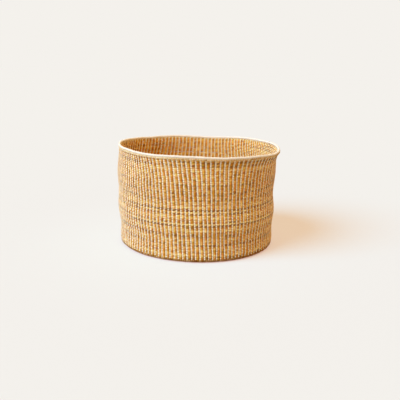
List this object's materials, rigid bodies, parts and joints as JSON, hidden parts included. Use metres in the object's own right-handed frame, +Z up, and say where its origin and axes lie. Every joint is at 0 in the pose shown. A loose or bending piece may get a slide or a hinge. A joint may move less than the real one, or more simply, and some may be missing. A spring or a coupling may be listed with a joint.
{
  "type": "banana leaf basket",
  "caption": "Round straight-sided open basket, twined from banana leaf fibre and white sisal over upright spokes, with a white cord round the rim.",
  "frame": {"origin": "middle of the base, on the surface that the basket stands on", "axes": "+Z up through the open mouth, -Y towards the viewer of the picture"},
  "size_m": [0.3567, 0.355, 0.2172],
  "materials": {
    "leaf_fibre": "dry twisted leaf fibre",
    "dark_fibre": "dry twisted leaf fibre, darker",
    "tan_fibre": "dry twisted leaf fibre, paler",
    "white_sisal": "spun sisal, matt",
    "spoke_sisal": "spun sisal, matt"
  },
  "bodies": {
    "root": {"spokes": "spoke_sisal", "base_start_rows": "leaf_fibre", "base_middle_rows": "leaf_fibre", "base_outer_rows": "leaf_fibre", "foot_rows": "tan_fibre", "wall_rows_1": "leaf_fibre", "dark_row_1": "dark_fibre", "wall_rows_2": "leaf_fibre", "dark_row_2": "dark_fibre", "wall_rows_3": "leaf_fibre", "dark_row_3": "dark_fibre", "wall_rows_4": "leaf_fibre", "dark_row_4": "dark_fibre", "wall_rows_5": "leaf_fibre", "rim_rows": "tan_fibre", "rim_cord": "white_sisal"}
  },
  "joints": []
}
